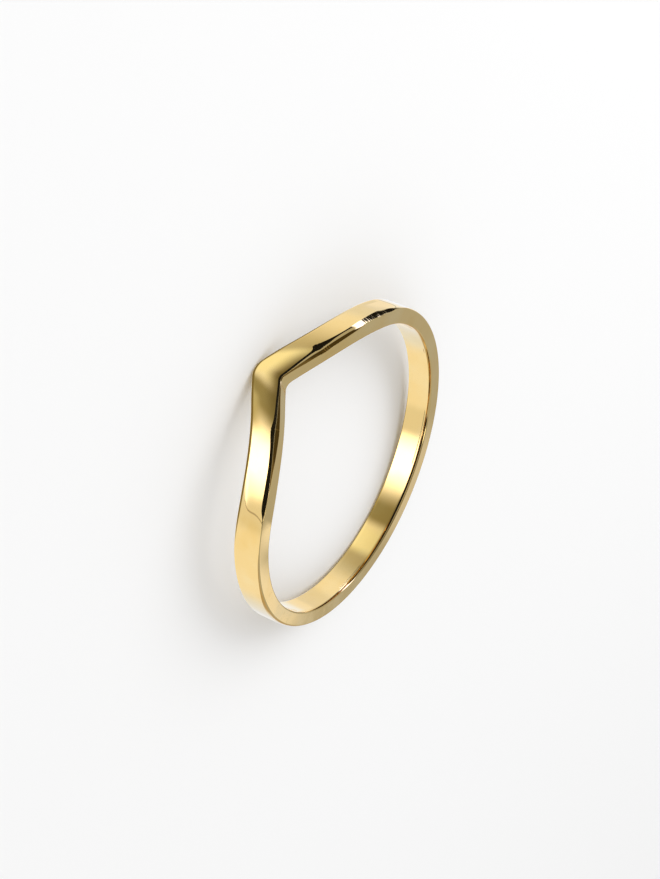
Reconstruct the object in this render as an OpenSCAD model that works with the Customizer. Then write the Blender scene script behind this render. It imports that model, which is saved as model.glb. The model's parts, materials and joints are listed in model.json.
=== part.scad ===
// Chevron ring: a plain polished band that dips to a single V at the front.
// Millimetres, +Z up, the V towards -Y, the left and right halves alike.
// The ring lies on its side, on the point of the V and the back of the band.
// The origin is on the surface below it, under the middle of its outline.

/* [Band] */
// Inside diameter, where the finger goes
bore_d = 17.3; // [15:0.1:23]
// Thickness of the wall, from the bore to the outside
wall_t = 0.97; // [0.8:0.01:2]
// Width of the band, measured along the finger
band_w = 1.6; // [1.2:0.05:2.5]

/* [Chevron] */
// Width of the chevron where its bends end, seen from the front
chevron_w = 13.5; // [10:0.1:14]
// Angle of each straight arm to the level band
arm_angle = 27; // [10:1:35]
// Reach of the straight upper edge on each side of the notch
arm_run = 1.35; // [0.8:0.05:2]
// Radius that rounds the point of the V
tip_r = 1.2; // [0.1:0.05:1.5]
// Radius that fills the notch of the V
notch_r = 0.4; // [0.1:0.05:1]
// How far the hole has flared out at the point, so that the V doesn't press on the finger
point_flare = 0.12; // [0.05:0.01:0.3]

/* [Hidden] */
gold = [0.86, 0.68, 0.38];
$fn = 240;

// The ring is drawn about its own axis, with the middle of the level band at z = 0
bore_r = bore_d / 2;
outer_r = bore_r + wall_t;
half_w = band_w / 2;
beyond = outer_r + band_w; // reaches past every face in a cut

// Seen from the front, each arm runs straight from the notch and bends up into the level band.
// Both edges of a bend turn about one centre, so the arm keeps the width of the band.
bend_x = chevron_w / 2;
bend_r = (bend_x - arm_run) / sin(arm_angle);
notch_z = half_w - bend_r * (1 - cos(arm_angle)) - arm_run * tan(arm_angle);
point_z = notch_z - band_w / cos(arm_angle);
tip_z = point_z + tip_r / cos(arm_angle) - tip_r; // the rounding lifts the point a little
bend_steps = 10;
corner_steps = 8;

// The hole is straight inside the level band, and flares from a little above its lower edge
flare_z = 0.1 - half_w;
point_bore_r = bore_r + point_flare;

// At rest the inner end of the point and the lower back edge touch the surface
rest_tilt = atan2(-half_w - tip_z, point_bore_r + outer_r);
rest_lift = -point_bore_r * sin(rest_tilt) - tip_z * cos(rest_tilt);
front_y = -outer_r * cos(rest_tilt) + tip_z * sin(rest_tilt);
back_y = outer_r * cos(rest_tilt) + half_w * sin(rest_tilt);

// Radius of the flared hole at height z
function flare_r(z) = bore_r + point_flare * (flare_z - z) / (flare_z - tip_z);

// Points along an arc, with its angles in degrees from +X
function arc(centre, r, from, to, steps) = [
    for (i = [0 : steps])
        let (a = from + (to - from) * i / steps)
            centre + r * [cos(a), sin(a)]
];

// An edge of a bend; side is 1 or -1
function bend(side, r, from, to) = arc([side * bend_x, half_w - bend_r], r, from, to, bend_steps);

// The end of the level stretch outside a bend; edge is 1 for the upper edge and -1 for the lower
function level_end(side, edge) = [side * beyond, edge * half_w];

// A rounded corner on the middle line, whose arms would meet at height corner_z
function corner(corner_z, r, from, to) = arc([0, corner_z + r / cos(arm_angle)], r, from, to, corner_steps);

// The front of the band, seen from the front
module chevron_outline() {
    polygon(concat(
        corner(notch_z, notch_r, -90 - arm_angle, -90 + arm_angle),
        bend(1, bend_r, 90 + arm_angle, 90),
        [level_end(1, 1), level_end(1, -1)],
        bend(1, bend_r - band_w, 90, 90 + arm_angle),
        corner(point_z, tip_r, -90 + arm_angle, -90 - arm_angle),
        bend(-1, bend_r - band_w, 90 - arm_angle, 90),
        [level_end(-1, -1), level_end(-1, 1)],
        bend(-1, bend_r, 90, 90 - arm_angle)
    ));
}

// The chevron's upper and lower walls run straight to the front, and its face follows the band
module chevron_head() {
    intersection() {
        rotate([90, 0, 0]) linear_extrude(height = beyond) chevron_outline();
        cylinder(r = outer_r, h = 2 * beyond, center = true);
    }
}

// The hole for the finger
module finger_hole() {
    cylinder(r = bore_r, h = 2 * beyond, center = true);
    translate([0, 0, -beyond]) cylinder(r1 = flare_r(-beyond), r2 = bore_r, h = beyond + flare_z);
}

// The level band, open at the front for the chevron and still solid inside
module level_band() {
    difference() {
        cylinder(r = outer_r, h = band_w, center = true);
        translate([-bend_x, -beyond, -beyond]) cube([chevron_w, beyond, 2 * beyond]);
    }
}

// The ring about its own axis, one piece of metal
module upright_ring() {
    difference() {
        union() {
            level_band();
            chevron_head();
        }
        finger_hole();
    }
}

// The ring as it lies
module chevron_band() {
    color(gold) translate([0, -(front_y + back_y) / 2, rest_lift]) rotate([-rest_tilt, 0, 0]) upright_ring();
}

chevron_band();
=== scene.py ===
# Chevron ring: a polished gold band with one V, lying on its side on a pale floor.
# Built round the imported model. Blender's lengths are metres; the dictionaries hold millimetres.
import json
import math
import random

import bmesh
import bpy
from mathutils import Matrix, Quaternion, Vector


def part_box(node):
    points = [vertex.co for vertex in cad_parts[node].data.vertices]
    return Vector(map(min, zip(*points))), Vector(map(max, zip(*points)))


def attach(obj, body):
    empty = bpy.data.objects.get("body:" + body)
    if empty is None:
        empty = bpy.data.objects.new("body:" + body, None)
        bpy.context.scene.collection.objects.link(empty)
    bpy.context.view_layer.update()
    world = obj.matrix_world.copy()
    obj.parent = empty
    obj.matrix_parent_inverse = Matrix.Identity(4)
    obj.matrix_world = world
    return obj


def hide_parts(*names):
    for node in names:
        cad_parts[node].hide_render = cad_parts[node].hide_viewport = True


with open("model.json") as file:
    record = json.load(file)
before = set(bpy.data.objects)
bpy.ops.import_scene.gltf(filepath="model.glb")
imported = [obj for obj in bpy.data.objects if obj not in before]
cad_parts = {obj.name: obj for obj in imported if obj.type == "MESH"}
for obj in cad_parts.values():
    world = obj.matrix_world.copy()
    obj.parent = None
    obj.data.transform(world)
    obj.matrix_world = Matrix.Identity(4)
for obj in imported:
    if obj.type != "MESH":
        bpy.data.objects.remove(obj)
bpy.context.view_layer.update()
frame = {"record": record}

print("frame loaded")

mm = 0.001


# Small helpers for numbers

def smoothRamp(value, start, end):
    share = min(1.0, max(0.0, (value - start) / (end - start)))
    return share * share * (3 - 2 * share)


def hump(value, centre, width):
    return math.exp(-((value - centre) / width) ** 2)


def blendTo(first, second, share):
    return first + (second - first) * share


def tableAt(rows, column, turn):
    # a smooth curve through one column of a table whose rows are placed by their turn
    turn = min(turn, rows[-1]["turn"])
    last = next(i for i in range(1, len(rows)) if turn <= rows[i]["turn"])

    def slope(i):
        before, after = rows[max(i - 1, 0)], rows[min(i + 1, len(rows) - 1)]
        return (after[column] - before[column]) / (after["turn"] - before["turn"])

    start, end = rows[last - 1], rows[last]
    gap = end["turn"] - start["turn"]
    t = (turn - start["turn"]) / gap
    rise = t * t * (3 - 2 * t)
    bend = slope(last - 1) * t * (1 - t) ** 2 - slope(last) * t * t * (1 - t)
    return blendTo(start[column], end[column], rise) + bend * gap


# The ring's own place: its bore gives the middle, the tilt and the radius

bore = next(m for m in frame["record"]["mounts"] if m["name"] == "finger_bore")
ringTilt = math.atan2(bore["axis"][1], bore["axis"][2])
ringPlace = Matrix.Translation(bore["pos_m"]) @ Matrix.Rotation(-ringTilt, 4, "X")

boreRadius = bore["dims"]["r_mm"]
nodeLow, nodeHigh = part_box("chevron_band")
outerRadius = (nodeHigh.x - nodeLow.x) / 2 / mm


# The band

bandShape = {
    "width": 1.6,            # along the finger
    "chevronWidth": 13.5,    # across the V, to the ends of its bends
    "armAngle": 27,
    "armRun": 1.35,          # straight upper edge beside the notch
    "tipRadius": 1.2,
    "notchRadius": 0.36,     # at the outside
    "notchInnerRadius": 0.75,
    "pointFlare": 0.12,
    "flareStart": 0.1,       # above the level band's lower edge
}

halfWidth = bandShape["width"] / 2
bendX = bandShape["chevronWidth"] / 2
armTurn = math.radians(bandShape["armAngle"])
bendRadius = (bendX - bandShape["armRun"]) / math.sin(armTurn)
notchHeight = halfWidth - bendRadius * (1 - math.cos(armTurn)) - bandShape["armRun"] * math.tan(armTurn)
pointHeight = notchHeight - bandShape["width"] / math.cos(armTurn)
tipLift = bandShape["tipRadius"] / math.cos(armTurn)
tipHeight = pointHeight + tipLift - bandShape["tipRadius"]
flareTop = bandShape["flareStart"] - halfWidth


def bentEdge(across, cornerHeight, cornerRadius, arcRadius):
    # height of an edge, seen from the front: rounded corner, straight arm, bend, level band
    across = abs(across)
    if across >= bendX:
        return halfWidth - bendRadius + arcRadius
    if across < cornerRadius * math.sin(armTurn):
        centre = cornerHeight + cornerRadius / math.cos(armTurn)
        return centre - math.sqrt(cornerRadius ** 2 - across ** 2)
    if across < bendX - arcRadius * math.sin(armTurn):
        return cornerHeight + across * math.tan(armTurn)
    return halfWidth - bendRadius + math.sqrt(arcRadius ** 2 - (bendX - across) ** 2)


def acrossAt(radius, angle):
    # distance from the middle line, seen from the front; the back of the band is level throughout
    return radius * math.sin(math.radians(angle)) if abs(angle) < 90 else outerRadius


def upperEdge(radius, angle):
    share = (radius - boreRadius) / (outerRadius - boreRadius)
    notch = blendTo(bandShape["notchInnerRadius"], bandShape["notchRadius"], share)
    return bentEdge(acrossAt(radius, angle), notchHeight, notch, bendRadius)


def lowerEdge(radius, angle):
    lowerBend = bendRadius - bandShape["width"]
    return bentEdge(acrossAt(radius, angle), pointHeight, bandShape["tipRadius"], lowerBend)


def boreAt(height):
    flare = max(0.0, (flareTop - height) / (flareTop - tipHeight))
    return boreRadius + bandShape["pointFlare"] * flare


# Slight waves that hand polishing leaves

waveShape = {
    "outer": 0.0012,         # depths on the three faces
    "side": 0.0024,
    "bore": 0.0012,
    "count": 7,              # waves in a set
    "slowest": 5,            # waves round the ring
    "fastest": 22,
    "sideFastest": 14,
    "slant": 1.2,            # the most that a wave shifts for each millimetre of height, in radians
    "raggedDepth": 0.013,    # where the cut's edges are ragged
    "raggedShare": 0.05,     # of the cut, taken from its steep strip
    "raggedTilt": 0.6,       # degrees
    "raggedSlowest": 240,
    "raggedFastest": 520,
    "seed": 11,
}

waveRandom = random.Random(waveShape["seed"])


def waveSet(slowest, fastest):
    # each wave has its rate round the ring, its phase and its slant
    slant = waveShape["slant"]
    waves = []
    for _ in range(waveShape["count"]):
        rate = waveRandom.randint(slowest, fastest)
        phase = waveRandom.uniform(0, math.tau)
        waves.append((rate, phase, waveRandom.uniform(-slant, slant)))
    return waves


def waveAt(waves, angle, height=0.0):
    turn = math.radians(angle)
    total = sum(math.sin(rate * turn + phase + slant * height) for rate, phase, slant in waves)
    return total / math.sqrt(len(waves))


outerWaves = waveSet(waveShape["slowest"], waveShape["fastest"])
sideWaves = waveSet(waveShape["slowest"], waveShape["sideFastest"])
boreWaves = waveSet(waveShape["slowest"], waveShape["fastest"])
raggedWaves = waveSet(waveShape["raggedSlowest"], waveShape["raggedFastest"])
raggedTilts = waveSet(waveShape["raggedSlowest"], waveShape["raggedFastest"])


# The cut along the outer upper edge, from the notch to where it dies out in the round shank.
# It starts at a crease and has three strips, which lean in more and more: steep, middle and flat.
# Turns are degrees round the ring from the V, wide is along the finger, and the other columns are
# the first two strips' shares of it. The arms were cut and polished by hand, so they differ.

cutTables = {
    "left": [
        {"turn": 0, "wide": 0.16, "steep": 0.74, "middle": 0.04},
        {"turn": 3.9, "wide": 0.21, "steep": 0.58, "middle": 0.12},
        {"turn": 8, "wide": 0.30, "steep": 0.40, "middle": 0.22},
        {"turn": 11.5, "wide": 0.37, "steep": 0.34, "middle": 0.26},
        {"turn": 13.2, "wide": 0.44, "steep": 0.44, "middle": 0.22},
        {"turn": 14.6, "wide": 0.64, "steep": 0.66, "middle": 0.10},
        {"turn": 16.4, "wide": 0.55, "steep": 0.58, "middle": 0.14},
        {"turn": 18.7, "wide": 0.45, "steep": 0.48, "middle": 0.18},
        {"turn": 21.5, "wide": 0.38, "steep": 0.30, "middle": 0.32},
        {"turn": 26, "wide": 0.33, "steep": 0.20, "middle": 0.42},
        {"turn": 31, "wide": 0.34, "steep": 0.24, "middle": 0.54},
        {"turn": 36, "wide": 0.36, "steep": 0.56, "middle": 0.32},
        {"turn": 40, "wide": 0.37, "steep": 0.84, "middle": 0.08},
        {"turn": 46, "wide": 0.35, "steep": 0.92, "middle": 0.04},
        {"turn": 50, "wide": 0.25, "steep": 0.94, "middle": 0.03},
        {"turn": 54, "wide": 0.06, "steep": 0.80, "middle": 0.10},
        {"turn": 60, "wide": 0.04, "steep": 0.30, "middle": 0.45},
        {"turn": 66, "wide": 0.10, "steep": 0.24, "middle": 0.50},
        {"turn": 180, "wide": 0.10, "steep": 0.24, "middle": 0.50},
    ],
    "right": [
        {"turn": 0, "wide": 0.16, "steep": 0.74, "middle": 0.04},
        {"turn": 4.3, "wide": 0.20, "steep": 0.70, "middle": 0.04},
        {"turn": 7.5, "wide": 0.25, "steep": 0.62, "middle": 0.03},
        {"turn": 13.7, "wide": 0.34, "steep": 0.54, "middle": 0.03},
        {"turn": 16.9, "wide": 0.44, "steep": 0.56, "middle": 0.03},
        {"turn": 22.7, "wide": 0.34, "steep": 0.54, "middle": 0.03},
        {"turn": 28.7, "wide": 0.28, "steep": 0.70, "middle": 0.03},
        {"turn": 36, "wide": 0.27, "steep": 0.93, "middle": 0.03},
        {"turn": 42, "wide": 0.25, "steep": 0.94, "middle": 0.03},
        {"turn": 46, "wide": 0.05, "steep": 0.80, "middle": 0.10},
        {"turn": 56, "wide": 0.04, "steep": 0.30, "middle": 0.45},
        {"turn": 62, "wide": 0.09, "steep": 0.30, "middle": 0.45},
        {"turn": 74, "wide": 0.13, "steep": 0.45, "middle": 0.30},
        {"turn": 86, "wide": 0.24, "steep": 0.60, "middle": 0.20},
        {"turn": 104, "wide": 0.30, "steep": 0.60, "middle": 0.20},
        {"turn": 180, "wide": 0.10, "steep": 0.24, "middle": 0.50},
    ],
}

edgeShape = {
    # the cut's strips: degrees that each leans in, where it starts and where it ends
    "steepTilt": (13, 17),
    "middleTilt": (21, 33),
    "flatTilt": (38, 50),
    "steepLean": {"left": 13.5, "right": 0},    # added towards the end of the cut
    "steepLeanTurn": (14, 60),
    "leastWide": 0.03,
    "leastShare": 0.02,          # of the cut, for its middle and flat strips
    "raggedPlaces": {"left": ((16.5, 3.0), (43, 6.5)), "right": ((17.5, 2.5),)},    # turn and spread
    # the small roll that ends a row of strips
    "rollRadius": 0.045,
    "rollEnd": 88,               # degrees
    "rollSteps": 5,
    "stripSteps": 3,
    "stripGuard": 0.06,          # as faceGuard, within a strip
    "faceGuard": 0.12,           # how close the point beside a face's end is, as a share of a step
    # a pair is for the V and for the back, and its Turn is where the one becomes the other
    "boreRoll": (0.10, 0.30),    # how far below the upper edge the bore starts to roll out
    "boreRollTurn": (40, 90),
    "boreStrips": ((0.5, 3, 0.34), (9, 17, 0.50), (20, 44, 0.16)),    # both tilts and the share of each
    "farBevel": (0.28, 0.14),    # along the outer lower edge
    "farBevelTurn": (44, 62),
    "farDrop": (0.09, 0.0),      # how much lower the lower side face is at its outer edge
    "farDropTurn": (40, 110),
    "sideRise": (0.06, 0.0),     # how much higher the upper side face is at the bore
    "sideRiseTurn": (38, 62),
    "innerFarBevel": 0.08,
    "bevelSteps": 7,
    "outerDome": 0.010,          # how much the outer face drops to its edges
    "headDome": 0.09,            # how much more it drops from its crest to the notch
    "headCrest": 0.3,            # from the lower edge, as a share of the face
    "headTurn": (6, 22),         # where that dies out
    "boreDome": 0.006,
    "notchLean": 0.03,           # slope of the side face to the right of the notch
    "notchLeanAt": 8,
    "notchLeanSpread": 6,
}


def spread(start, end, steps, guard=edgeShape["faceGuard"]):
    # points from start to end with a close one beside each end, so that the shading stays flat
    shares = [0, guard / steps] + [i / steps for i in range(1, steps)] + [1 - guard / steps, 1]
    return [blendTo(start, end, s) for s in shares]


def armName(angle):
    return "right" if angle >= 0 else "left"


def byTurn(name, angle):
    front, back = edgeShape[name]
    return blendTo(front, back, smoothRamp(abs(angle), *edgeShape[name + "Turn"]))


def stripCurve(strips, height):
    # a row of strips and the roll at its end, as depth into the metal and height above the start
    roll, end = edgeShape["rollRadius"], math.radians(edgeShape["rollEnd"])
    rollSteps = edgeShape["rollSteps"]
    last = math.radians(strips[-1][1])
    straight = height - roll * (math.sin(end) - math.sin(last))
    depth, climbed = 0.0, 0.0
    found = [(depth, climbed)]

    def walk(first, final, length, shares):
        nonlocal depth, climbed
        for before, after in zip(shares, shares[1:]):
            tilt = blendTo(first, final, (before + after) / 2)
            depth += math.sin(tilt) * length * (after - before)
            climbed += math.cos(tilt) * length * (after - before)
            found.append((depth, climbed))

    for first, final, share in strips:
        first, final = math.radians(first), math.radians(final)
        shares = spread(0, 1, edgeShape["stripSteps"], edgeShape["stripGuard"])
        walk(first, final, share * straight / math.cos((first + final) / 2), shares)
    walk(last, end, roll * (end - last), [i / rollSteps for i in range(rollSteps + 1)])
    return found


def outerCut(angle):
    # the cut's width along the finger, and its curve
    arm, turn = armName(angle), abs(angle)
    rows, leastShare = cutTables[arm], edgeShape["leastShare"]
    wide = max(edgeShape["leastWide"], tableAt(rows, "wide", turn))
    steep = tableAt(rows, "steep", turn)
    middle = max(leastShare, tableAt(rows, "middle", turn))
    rough = sum(hump(turn, *place) for place in edgeShape["raggedPlaces"][arm])
    wide += waveShape["raggedDepth"] * rough * waveAt(raggedWaves, angle)
    steep -= waveShape["raggedShare"] * rough * max(0.0, waveAt(raggedTilts, angle))
    lean = waveShape["raggedTilt"] * rough * waveAt(raggedTilts, angle)
    lean += edgeShape["steepLean"][arm] * smoothRamp(turn, *edgeShape["steepLeanTurn"])
    steepStart, steepEnd = edgeShape["steepTilt"]
    strips = (
        (steepStart + lean, steepEnd + lean, steep),
        (*edgeShape["middleTilt"], middle),
        (*edgeShape["flatTilt"], max(leastShare, 1 - steep - middle)),
    )
    return wide, stripCurve(strips, wide)


def cornerCurve(start, control, end, steps):
    # a quadratic curve from one face to the next, without its two ends
    found = []
    for step in range(1, steps):
        t = step / steps
        found.append(tuple(
            (1 - t) ** 2 * a + 2 * t * (1 - t) * c + t ** 2 * b
            for a, c, b in zip(start, control, end)
        ))
    return found


faceSteps = {"outer": 10, "upper": 4, "bore": 7, "lower": 3}


def bandSection(angle):
    # the closed outline of the band at this angle, as radius and height
    wide, cut = outerCut(angle)
    rollHeight = byTurn("boreRoll", angle)
    boreRoll = stripCurve(edgeShape["boreStrips"], rollHeight)
    far, innerFar = byTurn("farBevel", angle), edgeShape["innerFarBevel"]
    drop, rise = byTurn("farDrop", angle), byTurn("sideRise", angle)
    steps = edgeShape["bevelSteps"]
    high = upperEdge(outerRadius, angle)
    low = lowerEdge(outerRadius, angle) - drop
    boreHigh = upperEdge(boreRadius, angle) + rise
    boreLow = lowerEdge(boreAt(low + drop), angle)
    farRadius = boreAt(boreLow)
    headDome = edgeShape["headDome"] * (1 - smoothRamp(abs(angle), *edgeShape["headTurn"]))
    crest = edgeShape["headCrest"]
    sideWave = min(0.0, waveShape["side"] * (waveAt(sideWaves, angle) - 1) / 2)
    lean = edgeShape["notchLean"] * hump(angle, edgeShape["notchLeanAt"], edgeShape["notchLeanSpread"])

    def outerPoint(height):
        share = (height - low) / (high - low)
        wave = waveShape["outer"] * max(0.0, 1 + waveAt(outerWaves, angle, height))
        dome = edgeShape["outerDome"] * (2 * share - 1) ** 2
        dome += headDome * ((share - crest) / (1 - crest)) ** 2
        return (outerRadius - dome - wave, height)

    def upperPoint(radius, below=0.0):
        raised = rise * (outerRadius - radius) / (outerRadius - boreRadius)
        raised -= lean * (radius - boreRadius)
        return (radius, upperEdge(radius, angle) - below + sideWave + raised)

    def borePoint(height):
        share = (height - boreLow) / (boreHigh - boreLow)
        wave = waveShape["bore"] * max(0.0, 1 + waveAt(boreWaves, angle, height))
        return (boreAt(height) + edgeShape["boreDome"] * (2 * share - 1) ** 2 + wave, height)

    def lowerPoint(radius):
        share = (radius - farRadius) / (outerRadius - farRadius)
        return (radius, lowerEdge(radius, angle) - drop * share)

    # outer face and cut, whose height settles from the crease's to the upper side face's
    outline = [outerPoint(h) for h in spread(low + far, high - wide, faceSteps["outer"])]
    creaseRadius = outline[-1][0]
    for depth, climbed in cut[1:]:
        radius = creaseRadius - depth
        settled = upperPoint(radius, wide - climbed)[1]
        outline.append((radius, blendTo(high - wide + climbed, settled, climbed / wide)))

    # upper side face, the roll at the bore's edge, and the bore
    start, end = boreHigh - rollHeight, boreLow + innerFar
    rollStart = borePoint(start)[0]
    rolled = [(rollStart + depth, rollHeight - climbed) for depth, climbed in boreRoll]
    outline += [upperPoint(r) for r in spread(outline[-1][0], rolled[-1][0], faceSteps["upper"])[1:]]
    outline += [upperPoint(radius, below) for radius, below in reversed(rolled[1:-1])]
    outline += [borePoint(h) for h in spread(start, end, faceSteps["bore"])]

    # lower side face between its two bevels
    outline += cornerCurve(outline[-1], lowerPoint(farRadius), lowerPoint(farRadius + innerFar), steps)
    outline += [lowerPoint(r) for r in spread(farRadius + innerFar, outerRadius - far, faceSteps["lower"])]
    outline += cornerCurve(outline[-1], lowerPoint(outerRadius), outerPoint(low + far), steps)
    return outline


# The S-shaped line across the outer face where each arm's flat polish meets the round shank.
# The mesh is turned so that one of its columns runs along the line.

lineShape = {
    # turn, sweep and hook are degrees: it sweeps back along the far edge and hooks to the cut's end.
    # Beside it the arm is dished.
    "left": {"turn": 56, "sweep": 1.3, "hook": -19, "dish": 0.045},
    "right": {"turn": 44, "sweep": 8, "hook": 12.8, "dish": 0.018},
    "sweepShare": 0.11,      # shares of the face, from the far edge
    "hookStart": 0.6,
    "edgeFade": 0.10,        # the dish and the groove fade out this close to the far edge
    "window": 11,            # how far round the ring the mesh is turned
    "dishLength": 2.2,
    "dishFade": 1.3,         # the more, the nearer to the line it is deepest
    "grooveDepth": 0.005,
    "grooveReach": 0.045,
}


def lineTurn(angle, share):
    line = lineShape[armName(angle)]
    sweep = line["sweep"] * math.exp(-share / lineShape["sweepShare"])
    hook = line["hook"] * max(0.0, share - lineShape["hookStart"]) ** 2
    window = hump(abs(angle), line["turn"], lineShape["window"])
    return math.copysign(1, angle) * (hook - sweep) * window


def lineRelief(angle):
    # depth of the dish and the groove, and how much painted shade the groove gets
    line, fade = lineShape[armName(angle)], lineShape["dishFade"]
    away = (abs(angle) - line["turn"]) * math.radians(1) * outerRadius
    u = min(1.0, max(0.0, -away / lineShape["dishLength"]))
    deepest = (fade / (1 + fade)) ** fade / (1 + fade)
    dish = line["dish"] * u * (1 - u) ** fade / deepest
    groove = math.exp(-(away / lineShape["grooveReach"]) ** 2)
    return dish + lineShape["grooveDepth"] * groove, groove


# Angles of the sections, closest together at the V, in degrees
sectionSteps = [
    {"end": 9, "step": 0.15},
    {"end": 60, "step": 0.2},
    {"end": 180, "step": 0.6},
]


def sectionAngles():
    oneSide, start = [0.0], 0.0
    for row in sectionSteps:
        reach = row["end"] - start
        count = round(reach / row["step"])
        oneSide += [start + reach * (i + 1) / count for i in range(count)]
        start = row["end"]
    return [-a for a in reversed(oneSide[1:-1])] + oneSide


def outlinePlaces(around):
    # for each point of an outline: its share of the outer face, and how much of the line's turn and
    # of its relief it takes
    outer = spread(0, 1, faceSteps["outer"])
    cut = len(outerCut(0)[1]) - 1
    corner = edgeShape["bevelSteps"] - 1
    places = [(share, 1.0, smoothRamp(share, 0, lineShape["edgeFade"])) for share in outer]
    places += [(1.0, 1 - (i + 1) / cut, 1 - (i + 1) / cut) for i in range(cut)]
    places += [(0.0, 0.0, 0.0)] * (around - len(places) - corner)
    return places + [(0.0, (i + 1) / (corner + 1), 0.0) for i in range(corner)]


def addObject(name, mesh, finish):
    data = bpy.data.meshes.new(name)
    mesh.to_mesh(data)
    mesh.free()
    data.materials.append(finish)
    made = bpy.data.objects.new(name, data)
    bpy.context.scene.collection.objects.link(made)
    return made


def buildBand(finish):
    angles = sectionAngles()
    sections = [bandSection(angle) for angle in angles]
    places = outlinePlaces(len(sections[0]))

    def between(angle, index, point):
        # the outline's point at an angle between two sections
        while angle < angles[index] and index > 0:
            index -= 1
        while index + 2 < len(angles) and angle > angles[index + 1]:
            index += 1
        share = (angle - angles[index]) / (angles[index + 1] - angles[index])
        return (blendTo(a, b, share) for a, b in zip(sections[index][point], sections[index + 1][point]))

    mesh = bmesh.new()
    seam = mesh.verts.layers.float.new("seam")
    rows = []
    for index, angle in enumerate(angles):
        row = []
        relief, grooveShade = lineRelief(angle)
        for point, (share, turnPart, reliefPart) in enumerate(places):
            turned = angle + (lineTurn(angle, share) * turnPart if turnPart else 0.0)
            radius, height = sections[index][point] if turned == angle else between(turned, index, point)
            radius -= relief * reliefPart
            turn = math.radians(turned)
            place = Vector((radius * math.sin(turn), -radius * math.cos(turn), height)) * mm
            vert = mesh.verts.new(ringPlace @ place)
            # the seam layer holds how much painted shade the groove gets; it also adds roughness there
            vert[seam] = grooveShade * reliefPart
            row.append(vert)
        rows.append(row)
    around = len(places)
    for i, row in enumerate(rows):
        following = rows[(i + 1) % len(rows)]
        for j in range(around):
            k = (j + 1) % around
            mesh.faces.new((row[j], following[j], following[k], row[k])).smooth = True
    bmesh.ops.recalc_face_normals(mesh, faces=mesh.faces)
    return addObject("polished_band", mesh, finish)


# Shader maths: a Wire is a node's output, and sums on it add Math nodes

class Wire:
    def __init__(self, graph, output):
        self.graph = graph
        self.output = output

    def maths(self, operation, *values):
        return self.graph.add("ShaderNodeMath", {"operation": operation}, dict(enumerate(values)))

    def __add__(self, other):
        return self.maths("ADD", self, other)

    def __radd__(self, other):
        return self.maths("ADD", other, self)

    def __sub__(self, other):
        return self.maths("SUBTRACT", self, other)

    def __rsub__(self, other):
        return self.maths("SUBTRACT", other, self)

    def __mul__(self, other):
        return self.maths("MULTIPLY", self, other)

    def __rmul__(self, other):
        return self.maths("MULTIPLY", other, self)

    def __neg__(self):
        return self.maths("MULTIPLY", self, -1)


class Graph:
    def __init__(self, tree):
        self.tree = tree
        tree.nodes.clear()

    def add(self, kind, settings=None, values=None, out=0):
        node = self.tree.nodes.new(kind)
        for name, setting in (settings or {}).items():
            setattr(node, name, setting)
        for name, value in (values or {}).items():
            self.feed(self.pick(node.inputs, name), value)
        if isinstance(out, tuple):
            return [Wire(self, self.pick(node.outputs, name)) for name in out]
        return Wire(self, self.pick(node.outputs, out)) if node.outputs else None

    def pick(self, sockets, name):
        shown = [s for s in sockets if s.enabled]
        return shown[name] if isinstance(name, int) else next(s for s in shown if s.name == name)

    def feed(self, socket, value):
        if isinstance(value, Wire):
            self.tree.links.new(value.output, socket)
        else:
            socket.default_value = value

    def rise(self, value, start, end):
        # 0 at start and 1 at end, smooth between them
        settings = {"interpolation_type": "SMOOTHSTEP"}
        values = {"Value": value, "From Min": start, "From Max": end}
        return self.add("ShaderNodeMapRange", settings, values)

    def mixColour(self, share, first, second, label=""):
        settings = {"data_type": "RGBA", "label": label}
        return self.add("ShaderNodeMix", settings, {"Factor": share, "A": first, "B": second})


# Polished gold

goldFinish = {
    "colour": (0.96, 0.70, 0.31, 1),
    "paleColour": (0.97, 0.74, 0.37, 1),
    "deepColour": (0.94, 0.66, 0.26, 1),
    # painted shade: a dark brown painted along the line's groove, standing in for the dark line seen there
    "grooveShadeColour": (0.34, 0.21, 0.075, 1),
    "grooveShadeShare": 0.88,
    "roughness": 0.055,
    "hazeRoughness": 0.05,   # added in the hazier patches
    "wearRoughness": 0.06,   # added in the finest rub marks
    "seamRoughness": 0.15,   # added in the line's groove
    "patches": {"Scale": 420, "Detail": 3.0, "Roughness": 0.5},    # scales are per metre
    "hazeRange": (0.45, 0.72),    # a range is where in the noise each starts and is full
    "deepRange": (0.42, 0.25),
    "rubs": {"Scale": 2600, "Detail": 4.0, "Roughness": 0.6},
    "wearRange": (0.55, 0.8),
    "rubStretch": (1.0, 1.0, 5.0),
    "rubStrength": 0.12,
    "rubHeight": 0.0000012,
}


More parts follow.
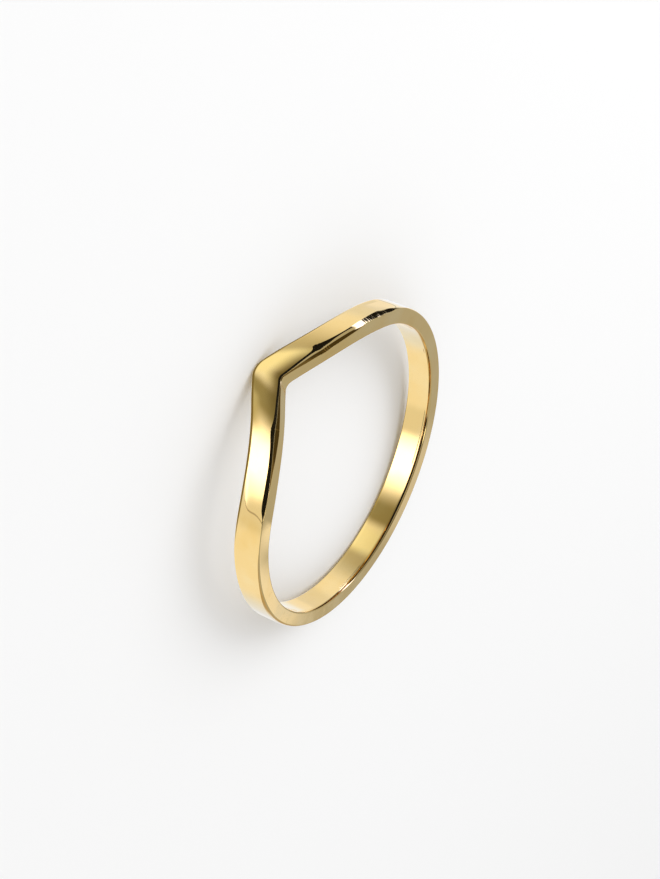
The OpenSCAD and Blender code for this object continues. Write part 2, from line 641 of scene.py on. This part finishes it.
def makeGold():
    gold = bpy.data.materials.new("polished_gold")
    gold.use_nodes = True
    graph = Graph(gold.node_tree)
    place = graph.add("ShaderNodeTexCoord", out="Object")
    seam = graph.add("ShaderNodeAttribute", {"attribute_name": "seam"}, out="Fac")

    patches = graph.add("ShaderNodeTexNoise", None, {"Vector": place, **goldFinish["patches"]})
    # rub marks run round the band, so they are squeezed across its height
    stretch = {0: place, 1: goldFinish["rubStretch"]}
    squeezed = graph.add("ShaderNodeVectorMath", {"operation": "MULTIPLY"}, stretch)
    rubs = graph.add("ShaderNodeTexNoise", None, {"Vector": squeezed, **goldFinish["rubs"]})

    haze = graph.rise(patches, *goldFinish["hazeRange"])
    deep = graph.rise(patches, *goldFinish["deepRange"])
    wear = graph.rise(rubs, *goldFinish["wearRange"])
    colour = graph.mixColour(haze, goldFinish["colour"], goldFinish["paleColour"])
    colour = graph.mixColour(deep, colour, goldFinish["deepColour"])
    # painted shade darkens the line's groove
    colour = graph.mixColour(seam * goldFinish["grooveShadeShare"], colour, goldFinish["grooveShadeColour"])
    roughness = goldFinish["roughness"] + haze * goldFinish["hazeRoughness"]
    roughness = roughness + wear * goldFinish["wearRoughness"]
    roughness = roughness + seam * goldFinish["seamRoughness"]
    relief = graph.add("ShaderNodeBump", None, {
        "Strength": goldFinish["rubStrength"], "Distance": goldFinish["rubHeight"], "Height": rubs,
    })

    shader = graph.add("ShaderNodeBsdfPrincipled", None, {
        "Base Color": colour, "Metallic": 1.0, "Roughness": roughness, "Normal": relief,
    })
    graph.add("ShaderNodeOutputMaterial", None, {"Surface": shader})
    return gold


band = buildBand(makeGold())
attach(band, "root")
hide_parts("chevron_band")
print("band built:", len(band.data.polygons), "faces")


# The studio: soft cards that only the gold mirrors. Azimuth runs from the V towards +X and
# elevation up from the ring's own plane, in degrees. Later cards cover earlier ones, and soft gives
# how far each card fades out past its left, right, lower and upper edges.

studioBase = (0.97, 0.97, 0.94, 1)
studioCards = [
    {"name": "backLeftGlow", "azimuth": (-154, -142), "elevation": (-90, 90), "soft": (12, 9, 0, 0),
     "colour": (0.95, 1.04, 1.20)},
    {"name": "leftDip", "azimuth": (-118, -100), "elevation": (-90, 90), "soft": (6, 12, 0, 0),
     "colour": (0.84, 0.86, 0.88)},
    {"name": "leftCard", "azimuth": (-47, -38), "elevation": (-90, 90), "soft": (34, 5, 0, 0),
     "colour": (0.56, 0.55, 0.46)},
    {"name": "warmCard", "azimuth": (-36, -25), "elevation": (-90, 90), "soft": (10, 14, 0, 0),
     "colour": (1.06, 1.09, 0.90)},
    {"name": "darkFlag", "azimuth": (-10, 0), "elevation": (-90, 90), "soft": (9, 16, 0, 0),
     "colour": (0.32, 0.30, 0.18)},
    {"name": "lamp", "azimuth": (36.5, 43.5), "elevation": (-31, -18), "soft": (28, 25, 10, 12),
     "colour": (3.2, 3.2, 3.2)},
    {"name": "lampShade", "azimuth": (0, 12), "elevation": (-90, -31), "soft": (6, 14, 0, 6),
     "colour": (0.55, 0.53, 0.36)},
    {"name": "rightDip", "azimuth": (66, 80), "elevation": (-90, 90), "soft": (8, 9, 0, 0),
     "colour": (0.83, 0.83, 0.78)},
    {"name": "backCard", "azimuth": (160, 178), "elevation": (-90, 90), "soft": (22, 12, 0, 0),
     "colour": (0.84, 0.93, 1.12)},
    {"name": "nadir", "azimuth": (-180, 180), "elevation": (-90, -62), "soft": (0, 0, 0, 12),
     "colour": (0.26, 0.22, 0.12)},
    {"name": "frontNadir", "azimuth": (-130, 100), "elevation": (-90, -45), "soft": (20, 20, 0, 10),
     "colour": (0.20, 0.17, 0.075)},
    {"name": "frontShade", "azimuth": (-56, 6), "elevation": (-11, 90), "soft": (16, 14, 15, 0),
     "colour": (0.15, 0.13, 0.065)},
    {"name": "upperRoom", "azimuth": (-180, 180), "elevation": (4, 90), "soft": (0, 0, 12, 0),
     "colour": (0.45, 0.46, 0.45)},
    {"name": "rightCeiling", "azimuth": (-5, 78), "elevation": (42, 75), "soft": (12, 12, 6, 5),
     "colour": (0.14, 0.11, 0.05)},
    {"name": "leftCeiling", "azimuth": (-76, -8), "elevation": (38, 75), "soft": (10, 12, 6, 5),
     "colour": (0.06, 0.045, 0.015)},
    {"name": "rimShade", "azimuth": (100, 190), "elevation": (-12, 6), "soft": (14, 6, 4, 4),
     "colour": (0.50, 0.41, 0.27)},
    {"name": "blackBand", "azimuth": (-112, 74), "elevation": (-7, 7), "soft": (8, 6, 5, 5),
     "colour": (0.01, 0.01, 0.01)},
    {"name": "leftSpot", "azimuth": (-78, -71), "elevation": (-8, 34), "soft": (3, 3, 5, 5),
     "colour": (2.4, 2.6, 4.0)},
    {"name": "rightSpot", "azimuth": (62, 70), "elevation": (24, 34), "soft": (3, 3, 4, 4),
     "colour": (3.0, 3.0, 2.4)},
    {"name": "sideGlow", "azimuth": (-175, -166.2), "elevation": (23.6, 27), "soft": (2, 1.2, 1.0, 3),
     "colour": (0.94, 0.95, 0.98)},
    {"name": "farGlow", "azimuth": (-162.4, -160.2), "elevation": (18, 21.8), "soft": (1.4, 1.2, 2, 1.2),
     "colour": (0.66, 0.66, 0.66)},
    {"name": "zenith", "azimuth": (-180, 180), "elevation": (84, 90), "soft": (0, 0, 8, 0),
     "colour": (0.90, 0.90, 0.88)},
]
# what lights the floor, and what the camera sees past it
studioFill = {"floorLight": (1.0, 1.0, 1.0, 1), "strength": 0.92, "backdrop": (0.93, 0.93, 0.93, 1)}


def cardMask(graph, azimuth, elevation, card):
    # 1 on the card and 0 beyond its soft edges; an edge that reaches all the way needs no ramp
    left, right = card["azimuth"]
    bottom, top = card["elevation"]
    softLeft, softRight, softBottom, softTop = card["soft"]
    ramps = []
    if right - left < 360:
        middle, half = (left + right) / 2, (right - left) / 2
        away = azimuth.maths("WRAP", azimuth - middle, 180.0, -180.0)
        ramps.append(graph.rise(away, -half - softLeft, -half))
        ramps.append(graph.rise(away, half + softRight, half))
    if bottom > -90:
        ramps.append(graph.rise(elevation, bottom - softBottom, bottom))
    if top < 90:
        ramps.append(graph.rise(elevation, top + softTop, top))
    mask = ramps[0]
    for ramp in ramps[1:]:
        mask = mask * ramp
    return mask


def makeStudio():
    world = bpy.data.worlds.new("studio")
    bpy.context.scene.world = world
    world.use_nodes = True
    graph = Graph(world.node_tree)
    looking = graph.add("ShaderNodeTexCoord", out="Generated")
    looking = graph.add("ShaderNodeVectorRotate", {"rotation_type": "X_AXIS"},
                        {"Vector": looking, "Angle": ringTilt})
    x, y, z = graph.add("ShaderNodeSeparateXYZ", None, {"Vector": looking}, out=("X", "Y", "Z"))
    degrees = math.degrees(1)
    azimuth = x.maths("ARCTAN2", x, -y) * degrees
    elevation = z.maths("ARCSINE", z) * degrees

    colour = studioBase
    for card in studioCards:
        mask = cardMask(graph, azimuth, elevation, card)
        colour = graph.mixColour(mask, colour, (*card["colour"], 1), card["name"])

    mirrored, seen = graph.add("ShaderNodeLightPath", out=("Is Glossy Ray", "Is Camera Ray"))
    fill = graph.add("ShaderNodeBackground", None,
                     {"Color": studioFill["floorLight"], "Strength": studioFill["strength"]})
    backdrop = graph.add("ShaderNodeBackground", None, {"Color": studioFill["backdrop"]})
    cards = graph.add("ShaderNodeBackground", None, {"Color": colour})
    shown = graph.add("ShaderNodeMixShader", None, {0: seen, 1: fill, 2: backdrop})
    shown = graph.add("ShaderNodeMixShader", None, {0: mirrored, 1: shown, 2: cards})
    graph.add("ShaderNodeOutputWorld", None, {"Surface": shown})


makeStudio()
print("studio cards:", len(studioCards))


# The floor, and the key light that throws the ring's soft shadow

floorShape = {"half": 1500.0, "cells": 8, "colour": (0.90, 0.90, 0.90, 1), "roughness": 0.6}
# azimuth from the V and elevation up from the floor, in degrees, and power in watts
keyLight = {"azimuth": -78, "elevation": 40, "distance": 240, "size": 200, "power": 0.19}


def makePaper():
    paper = bpy.data.materials.new("pale_paper")
    paper.use_nodes = True
    graph = Graph(paper.node_tree)
    shader = graph.add("ShaderNodeBsdfPrincipled", None,
                       {"Base Color": floorShape["colour"], "Roughness": floorShape["roughness"]})
    graph.add("ShaderNodeOutputMaterial", None, {"Surface": shader})
    return paper


def makeFloor():
    mesh = bmesh.new()
    cells = floorShape["cells"]
    bmesh.ops.create_grid(mesh, x_segments=cells, y_segments=cells, size=floorShape["half"] * mm)
    floor = addObject("floor", mesh, makePaper())
    floor.visible_glossy = False


def directionTo(azimuth, elevation):
    turn, rise = math.radians(azimuth), math.radians(elevation)
    return Vector((math.sin(turn) * math.cos(rise), -math.cos(turn) * math.cos(rise), math.sin(rise)))


def makeKey():
    lamp = bpy.data.lights.new("key", "AREA")
    lamp.shape = "DISK"
    lamp.size = keyLight["size"] * mm
    lamp.energy = keyLight["power"]
    key = bpy.data.objects.new("key", lamp)
    bpy.context.scene.collection.objects.link(key)
    out = directionTo(keyLight["azimuth"], keyLight["elevation"])
    key.location = out * keyLight["distance"] * mm
    key.rotation_mode = "QUATERNION"
    key.rotation_quaternion = out.to_track_quat("Z", "Y")
    key.visible_glossy = False


makeFloor()
makeKey()
print("floor and light made")


# The camera, at the photograph's angle to the ring

cameraView = {
    "azimuth": 20.07,
    "elevation": 30.23,
    "roll": 109.75,
    "distance": 108.4,
    "aim": (-0.84, -0.81, 0.86),
    "lens": 78.43,
    "sensor": 36.0,
    "clip": (1, 10000),
}


def makeCamera():
    data = bpy.data.cameras.new("camera")
    data.lens = cameraView["lens"]
    data.sensor_width = cameraView["sensor"]
    data.clip_start, data.clip_end = (reach * mm for reach in cameraView["clip"])
    camera = bpy.data.objects.new("camera", data)
    bpy.context.scene.collection.objects.link(camera)
    out = directionTo(cameraView["azimuth"], cameraView["elevation"])
    camera.location = (Vector(cameraView["aim"]) + out * cameraView["distance"]) * mm
    camera.rotation_mode = "QUATERNION"
    turned = Quaternion((0, 0, 1), math.radians(cameraView["roll"]))
    camera.rotation_quaternion = out.to_track_quat("Z", "Y") @ turned
    bpy.context.scene.camera = camera


makeCamera()
bpy.context.scene.view_settings.view_transform = "Standard"
